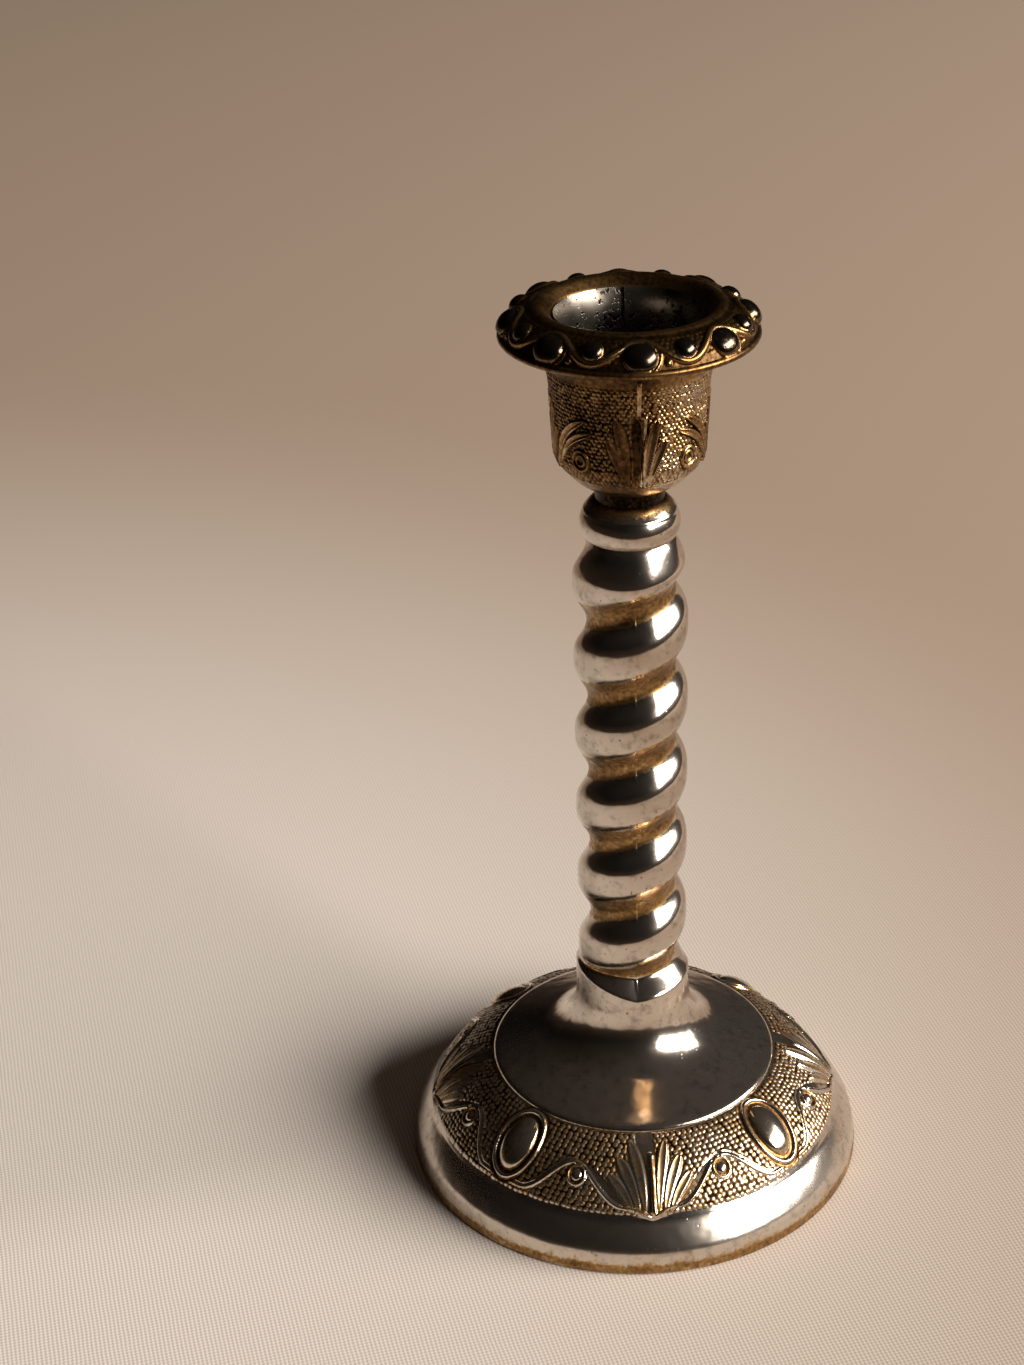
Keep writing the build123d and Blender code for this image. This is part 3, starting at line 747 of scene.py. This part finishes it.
# Drip pan: the cast ring that catches the wax, drooping from its crest to a plain lip.
# Zinc, plated and then darkened, with eight drops under the arches of a wave scroll, a round bead in
# every trough, and a brown ground. It sits on the cup's mouth and lifts off with its sleeve.
pan_low, pan_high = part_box("drip_pan")
pan_z = pan_low.z / mm
pan_top_z = pan_high.z / mm
pan_r = pan_high.x / mm
pan_crest_r = 14.8
pan_crest_w = 2.2
pan_crest_round = 0.45
pan_lip_t = 1.3
pan_rim_h = 2.1
pan_rim_z = pan_z + pan_rim_h
pan_bulge = 0.55
pan_under_bulge = 2.0
pan_bore_r = 11.4
throat_r = 10.2
throat_flare = 25
throat_h = 1.0
throat_z = pan_z + throat_h
seat_w = 0.4
seat_h = 0.5
drop_count = 8
pan_steps = 720
crest_in = (pan_crest_r - pan_crest_w / 2, pan_top_z - pan_crest_round)
crest_out = (pan_crest_r + pan_crest_w / 2, pan_top_z - pan_crest_round)
lip_top = (pan_r - pan_lip_t / 2, pan_rim_z + pan_lip_t / 2)
lip_under = (pan_r - pan_lip_t / 2, pan_rim_z - pan_lip_t / 2)
seat_edge = (cup_mouth[0] + seat_w, pan_z + seat_h)
throat = arc((pan_bore_r + throat_r, throat_z), throat_r, 180, 180 - throat_flare, 6)
pan_outline = [
    (pan_bore_r, pan_z),
    *throat,
    *straight(throat[-1], crest_in, 4),
    *bowed(crest_in, crest_out, -pan_crest_round, 8),
    *bowed(crest_out, lip_top, -pan_bulge, 46),
    *arc((lip_top[0], pan_rim_z), pan_lip_t / 2, 90, -90, 9)[1:],
    *bowed(lip_under, seat_edge, pan_under_bulge, 10),
    (cup_mouth[0], pan_z),
]
drip_pan = spun("drip_pan_ring", pan_outline, pan_steps)
radius, height, turn = places(drip_pan)
out_r, out_z = facing_out(drip_pan, turn)
slope_way = np.subtract(lip_top, crest_out)
slope_length = np.hypot(*slope_way)
down = ((radius - crest_out[0]) * slope_way[0] + (height - crest_out[1]) * slope_way[1]) / slope_length
on_slope = (out_z > 0.2) & (radius > crest_out[0] - 0.01) & (height > lip_top[1] - 0.01)
drop_turn = 360 / drop_count
local = np.mod(turn + drop_turn / 2, drop_turn) - drop_turn / 2
across = radius * np.radians(local)
fold = np.abs(local)
bead_across = radius * np.radians(drop_turn / 2 - fold)
drop_down = 3.9
drop_half = (2.75, 2.4)
drop_reach = np.hypot(across / drop_half[0], (down - drop_down) / drop_half[1])
drop = np.sqrt(np.clip(1 - drop_reach**2, 0, 1))
round_down = 3.0
round_r = 1.75
round_reach = np.hypot(bead_across, down - round_down)
bead = rounded(round_reach, round_r)
wave_middle = 3.05
wave_swing = 1.95
wave_phase = np.pi * fold / (drop_turn / 2)
wave_down = wave_middle - wave_swing * np.cos(wave_phase)
steep = wave_swing * np.pi * np.sin(wave_phase) / (radius * np.radians(drop_turn / 2))
off_wave = (down - wave_down) / np.sqrt(1 + steep**2)
wave = rounded(off_wave, 0.6)
hook = rounded((drop_reach - 1.14) * 2.1, 0.26) * (across > 0) * (down > 2.4)
tiny_turn = 12.4
tiny_down = 4.9
tiny_r = 0.55
tiny_across = radius * np.radians(local - tiny_turn)
tiny = rounded(np.hypot(tiny_across, down - tiny_down), tiny_r)
pan_ground_r = 18.0
pan_bead_pitch = 0.9
ground = beads(turn, down, lambda level: np.full_like(level, pan_ground_r), pan_bead_pitch)
ground = ground * step_down(-down, -0.8, -0.4) * step_down(down, 5.0, 5.5)
rise = 0.1 * ground * (np.abs(off_wave) > 0.5)
rise = np.maximum(rise, 0.6 * wave)
rise = np.maximum(rise, 0.3 * hook)
rise = np.maximum(rise, 0.4 * tiny)
rise = np.where(drop_reach < 1, np.maximum(1.5 * drop, rise * (drop_reach > 0.97)), rise)
rise = np.where(round_reach < round_r, 1.2 * bead, rise)
rise = np.where(on_slope, rise, 0)
set_places(drip_pan, radius + out_r * rise, height + out_z * rise, turn)
pan_hollow = 0.38 + 0.45 * np.clip(1 - rise / 0.3, 0, 1)
pan_hollow = np.where((drop_reach < 0.95) | (round_reach < 1.65), 0.1, pan_hollow)
pan_hollow = np.where(on_slope, pan_hollow, 0.6)
throat_edge = (out_z > 0) & (radius < throat[-1][0] + 0.25)
worn(drip_pan, np.where(throat_edge, 0.3, pan_hollow))
dark_plate = plated(
    "darkened_silver_plate", 0.18, "#4d453d", "#8d7550", "#8c6a3e", "#533b1f", "#140d07"
)
drip_pan.data.materials.append(dark_plate)
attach(drip_pan, "nozzle")
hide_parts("drip_pan")

# Socket sleeve: the tube that holds the candle.
# Tinned sheet rolled to a tube with an open seam at the back, and flared over the pan's throat.
sleeve_low, sleeve_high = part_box("socket_liner")
sleeve_z = sleeve_low.z / mm
sleeve_bore_r = 11.0
sleeve_wall = 0.35
sleeve_flare_r = 10.6
sleeve_flare = 25
sleeve_seam = 0.6
sleeve_steps = 192
soot_mm = 6.0
rot_mm = 0.8
inside_centre = (sleeve_bore_r + sleeve_flare_r, throat_z)
sleeve_outline = [
    (sleeve_bore_r, sleeve_z),
    *straight((sleeve_bore_r, sleeve_z), (sleeve_bore_r, throat_z), 16),
    *arc(inside_centre, sleeve_flare_r, 180, 180 - sleeve_flare, 10)[1:],
    *arc(inside_centre, sleeve_flare_r - sleeve_wall, 180 - sleeve_flare, 180, 10),
    (sleeve_bore_r + sleeve_wall, sleeve_z),
]
sleeve = spun("candle_sleeve", sleeve_outline, sleeve_steps)
bpy.ops.mesh.primitive_cube_add(size=1)
seam_cutter = bpy.context.object
seam_cutter.dimensions = (sleeve_seam * mm, 4 * sleeve_bore_r * mm, 4 * (sleeve_high.z - sleeve_low.z))
seam_cutter.location = (0, 2 * sleeve_bore_r * mm, sleeve_low.z)
bpy.ops.object.select_all(action="DESELECT")
bpy.context.view_layer.objects.active = sleeve
seam_cut = sleeve.modifiers.new("open_seam", "BOOLEAN")
seam_cut.object = seam_cutter
seam_cut.solver = "EXACT"
bpy.ops.object.modifier_apply(modifier=seam_cut.name)
bpy.data.objects.remove(seam_cutter)
tinned, tree, surface = new_material("tinned_sheet_dulled_by_wax")
spot = add_node(tree, "ShaderNodeTexCoord").outputs["Object"]
soot = add_node(
    tree, "ShaderNodeTexNoise", {"Vector": spot, "Scale": 1 / (soot_mm * mm), "Detail": 6}
).outputs["Fac"]
tone = add_node(tree, "ShaderNodeValToRGB", {0: soot})
tone.color_ramp.elements[0].color = linear("#3d3831")
tone.color_ramp.elements[0].position = 0.35
tone.color_ramp.elements[1].color = linear("#8d857a")
tone.color_ramp.elements[1].position = 0.65
pits = add_node(
    tree, "ShaderNodeTexNoise", {"Vector": spot, "Scale": 1 / (rot_mm * mm), "Detail": 4}
).outputs["Fac"]
bite = add_node(
    tree, "ShaderNodeMath", {0: soot, 1: -0.5, 2: pits}, operation="MULTIPLY_ADD"
).outputs[0]
climb = add_node(tree, "ShaderNodeSeparateXYZ", {0: spot}).outputs[2]
deep = add_node(
    tree, "ShaderNodeMapRange", {0: climb, 1: sleeve_low.z, 2: sleeve_high.z, 3: 0.16, 4: -0.07}
).outputs[0]
worse = add_node(tree, "ShaderNodeMath", {0: bite, 1: deep}, operation="ADD").outputs[0]
eaten = add_node(tree, "ShaderNodeMapRange", {0: worse, 1: 0.3, 2: 0.36, 3: 0, 4: 1}).outputs[0]
colour = add_node(
    tree,
    "ShaderNodeMix",
    {0: eaten, 6: tone.outputs[0], 7: linear("#1d1915")},
    data_type="RGBA",
).outputs[2]
bump = add_node(
    tree, "ShaderNodeBump", {"Height": eaten, "Strength": 0.4, "Distance": -0.1 * mm}
).outputs[0]
shader = add_node(
    tree,
    "ShaderNodeBsdfPrincipled",
    {"Base Color": colour, "Metallic": 1.0, "Roughness": 0.3, "Normal": bump},
)
tree.links.new(shader.outputs[0], surface.inputs[0])
sleeve.data.materials.append(tinned)
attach(sleeve, "nozzle")
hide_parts("socket_liner")

# Fastening inside the foot: threaded rod, washer, spring washer and nut.
# Turned and pressed steel with a bright zinc coat, carried over from the construction model.
coat_mm = 1.2
zinc_coat, tree, surface = new_material("bright_zinc_on_steel")
spot = add_node(tree, "ShaderNodeTexCoord").outputs["Object"]
spangle = add_node(
    tree, "ShaderNodeTexNoise", {"Vector": spot, "Scale": 1 / (coat_mm * mm), "Detail": 4}
).outputs["Fac"]
tone = add_node(tree, "ShaderNodeValToRGB", {0: spangle})
tone.color_ramp.elements[0].color = linear("#7d7f82")
tone.color_ramp.elements[1].color = linear("#c3c5c4")
shader = add_node(
    tree, "ShaderNodeBsdfPrincipled", {"Base Color": tone.outputs[0], "Metallic": 1.0, "Roughness": 0.34}
)
tree.links.new(shader.outputs[0], surface.inputs[0])
for name in ("tie_rod", "washer", "lock_washer", "tie_nut"):
    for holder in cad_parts[name].material_slots:
        holder.material = zinc_coat

# Base board: the disc that lies in the rim, against a ledge, and closes the foot.
# Pressed wood fibre, cut round, carried over from the construction model.
fibre_mm = 0.7
fibre_board, tree, surface = new_material("pressed_fibre_board")
spot = add_node(tree, "ShaderNodeTexCoord").outputs["Object"]
fibre = add_node(
    tree, "ShaderNodeTexNoise", {"Vector": spot, "Scale": 1 / (fibre_mm * mm), "Detail": 8}
).outputs["Fac"]
tone = add_node(tree, "ShaderNodeValToRGB", {0: fibre})
tone.color_ramp.elements[0].color = linear("#4a3220")
tone.color_ramp.elements[1].color = linear("#8a6a48")
shader = add_node(tree, "ShaderNodeBsdfPrincipled", {"Base Color": tone.outputs[0], "Roughness": 0.85})
tree.links.new(shader.outputs[0], surface.inputs[0])
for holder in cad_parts["base_board"].material_slots:
    holder.material = fibre_board

# Felt: the disc that the stick stands on.
# Pressed wool felt cut round and glued to the board, its cut edge a little rounded.
felt_low, felt_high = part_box("felt_pad")
felt_edge = 0.25
felt_steps = 180
bpy.ops.object.select_all(action="DESELECT")
bpy.ops.mesh.primitive_cylinder_add(
    vertices=felt_steps,
    radius=felt_high.x,
    depth=felt_high.z - felt_low.z,
    location=(0, 0, (felt_low.z + felt_high.z) / 2),
)
felt = bpy.context.object
felt.name = "felt_disc"
bpy.ops.object.transform_apply(location=True)
cut_edge = felt.modifiers.new("cut_edge", "BEVEL")
cut_edge.width = felt_edge * mm
cut_edge.segments = 3
bpy.ops.object.modifier_apply(modifier=cut_edge.name)
bpy.ops.object.shade_smooth_by_angle(angle=math.radians(40))
nap_mm = 0.5
wool, tree, surface = new_material("green_wool_felt")
spot = add_node(tree, "ShaderNodeTexCoord").outputs["Object"]
nap = add_node(
    tree, "ShaderNodeTexNoise", {"Vector": spot, "Scale": 1 / (nap_mm * mm), "Detail": 8}
).outputs["Fac"]
tone = add_node(tree, "ShaderNodeValToRGB", {0: nap})
tone.color_ramp.elements[0].color = linear("#2b3a2a")
tone.color_ramp.elements[1].color = linear("#5f6f52")
bump = add_node(tree, "ShaderNodeBump", {"Height": nap, "Strength": 0.6, "Distance": 0.1 * mm}).outputs[0]
shader = add_node(
    tree,
    "ShaderNodeBsdfPrincipled",
    {"Base Color": tone.outputs[0], "Roughness": 0.95, "Sheen Weight": 0.4, "Normal": bump},
)
tree.links.new(shader.outputs[0], surface.inputs[0])
felt.data.materials.append(wool)
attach(felt, "stick")
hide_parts("felt_pad")

# Floor: a pale cloth that the stick stands on, its colour holding painted light: palest left of the stick,
# deeper away from it and towards the right.
# Its weave is a little coarser than the real thread and fades out behind. It ends in front of the stick.
thread_mm = 0.7
thread_turn = -12.0
cloth_r = 1.25
cloth_front = 0.32
cloth_steps = 96
painted_light_spot = (-0.09, 0.02, 0)
bpy.ops.object.select_all(action="DESELECT")
bpy.ops.mesh.primitive_circle_add(
    vertices=cloth_steps, radius=cloth_r, fill_type="NGON", location=(0, cloth_r - cloth_front, 0)
)
floor = bpy.context.object
floor.name = "floor"
cloth, tree, surface = new_material("beige_cloth_with_painted_light")
spot = add_node(tree, "ShaderNodeNewGeometry").outputs["Position"]
laid = add_node(
    tree,
    "ShaderNodeVectorRotate",
    {"Vector": spot, "Angle": math.radians(thread_turn)},
    rotation_type="Z_AXIS",
).outputs[0]
threads = []
for way in ("X", "Y"):
    ribs = {
        "Vector": laid,
        "Scale": math.tau / 20 / (thread_mm * mm),
        "Distortion": 1.5,
        "Detail": 1,
        "Detail Scale": 0.3,
    }
    threads.append(add_node(tree, "ShaderNodeTexWave", ribs, bands_direction=way).outputs["Fac"])
thread = add_node(
    tree, "ShaderNodeMath", {0: threads[1], 1: 0.6, 2: threads[0]}, operation="MULTIPLY_ADD"
).outputs[0]
right, back, _ = add_node(tree, "ShaderNodeSeparateXYZ", {0: spot}).outputs
near = add_node(tree, "ShaderNodeMapRange", {0: back, 1: -0.03, 2: 0.2, 3: 1, 4: 0}).outputs[0]
# Painted light: the colour is palest at a spot left of the stick and grows deeper with distance from it and
# towards the right.
off_painted_light = add_node(
    tree, "ShaderNodeVectorMath", {0: spot, 1: painted_light_spot}, operation="DISTANCE"
).outputs["Value"]
away = add_node(
    tree, "ShaderNodeMath", {0: right, 1: 0.45, 2: off_painted_light}, operation="MULTIPLY_ADD"
).outputs[0]
far = add_node(
    tree,
    "ShaderNodeMapRange",
    {0: away, 1: -0.04, 2: 0.36, 3: 0, 4: 1},
    interpolation_type="SMOOTHSTEP",
).outputs[0]
pale = add_node(
    tree, "ShaderNodeMix", {0: far, 6: linear("#e3d9ce"), 7: linear("#a8937f")}, data_type="RGBA"
).outputs[2]
rib = add_node(tree, "ShaderNodeMapRange", {0: thread, 1: 0.2, 2: 1.4, 3: -0.26, 4: 0.17}).outputs[0]
shade = add_node(tree, "ShaderNodeMath", {0: rib, 1: near, 2: 0.93}, operation="MULTIPLY_ADD").outputs[0]
weave = add_node(
    tree, "ShaderNodeVectorMath", {0: pale, "Scale": shade}, operation="SCALE"
).outputs[0]
shader = add_node(tree, "ShaderNodeBsdfPrincipled", {"Base Color": weave, "Roughness": 0.9})
tree.links.new(shader.outputs[0], surface.inputs[0])
floor.data.materials.append(cloth)

# Light: one large soft window on the right and a dim room, which the metal mirrors.
# The camera sees that room past the edge of the cloth. It fills the shadows a little more than it shows.
window_turn = 69.0
window_height = 26.0
window_far = 3.4
window_size = (3.6, 1.35)
window_power = 330.0
bpy.ops.object.light_add(type="AREA")
window = bpy.context.object
window.data.shape = "RECTANGLE"
window.data.size, window.data.size_y = window_size
window.data.energy = window_power
window.data.color = linear("#fff8f2")[:3]
lean = Matrix.Rotation(math.radians(window_turn), 4, "Z") @ Matrix.Rotation(
    math.radians(90 - window_height), 4, "X"
)
window.matrix_world = lean @ Matrix.Translation((0, 0, window_far))

world = bpy.data.worlds.new("dim_room")
bpy.context.scene.world = world
world.use_nodes = True
tree = world.node_tree
tree.nodes.clear()
surface = tree.nodes.new("ShaderNodeOutputWorld")
look = add_node(tree, "ShaderNodeTexCoord").outputs["Generated"]
climb = add_node(tree, "ShaderNodeSeparateXYZ", {0: look}).outputs[2]
room = add_node(tree, "ShaderNodeValToRGB", {0: climb})
room.color_ramp.elements[0].color = linear("#2a211a")
room.color_ramp.elements[1].color = linear("#0b0908")
room.color_ramp.elements[1].position = 0.3
room.color_ramp.elements.new(0.9).color = linear("#211a14")
diffuse = add_node(tree, "ShaderNodeLightPath").outputs["Is Diffuse Ray"]
filled = add_node(
    tree,
    "ShaderNodeMix",
    {0: diffuse, 6: room.outputs[0], 7: linear("#352d27")},
    data_type="RGBA",
).outputs[2]
glow = add_node(tree, "ShaderNodeBackground", {"Color": filled, "Strength": 1.0})
tree.links.new(glow.outputs[0], surface.inputs[0])

# Camera: a little to the left of the seam, looking down at the stick.
camera_place = (-31.23, -357.0, 283.65)
camera_pitch = 27.749
camera_yaw = -1.757
camera_roll = -1.828
camera_lens = 62.53
camera_sensor = 36
bpy.ops.object.camera_add()
camera = bpy.context.object
camera.data.sensor_width = camera_sensor
camera.data.lens = camera_lens
camera.matrix_world = (
    Matrix.Translation([c * mm for c in camera_place])
    @ Matrix.Rotation(math.radians(camera_yaw), 4, "Z")
    @ Matrix.Rotation(math.radians(90 - camera_pitch), 4, "X")
    @ Matrix.Rotation(math.radians(camera_roll), 4, "Z")
)
bpy.context.scene.camera = camera
bpy.context.scene.view_settings.view_transform = "Standard"
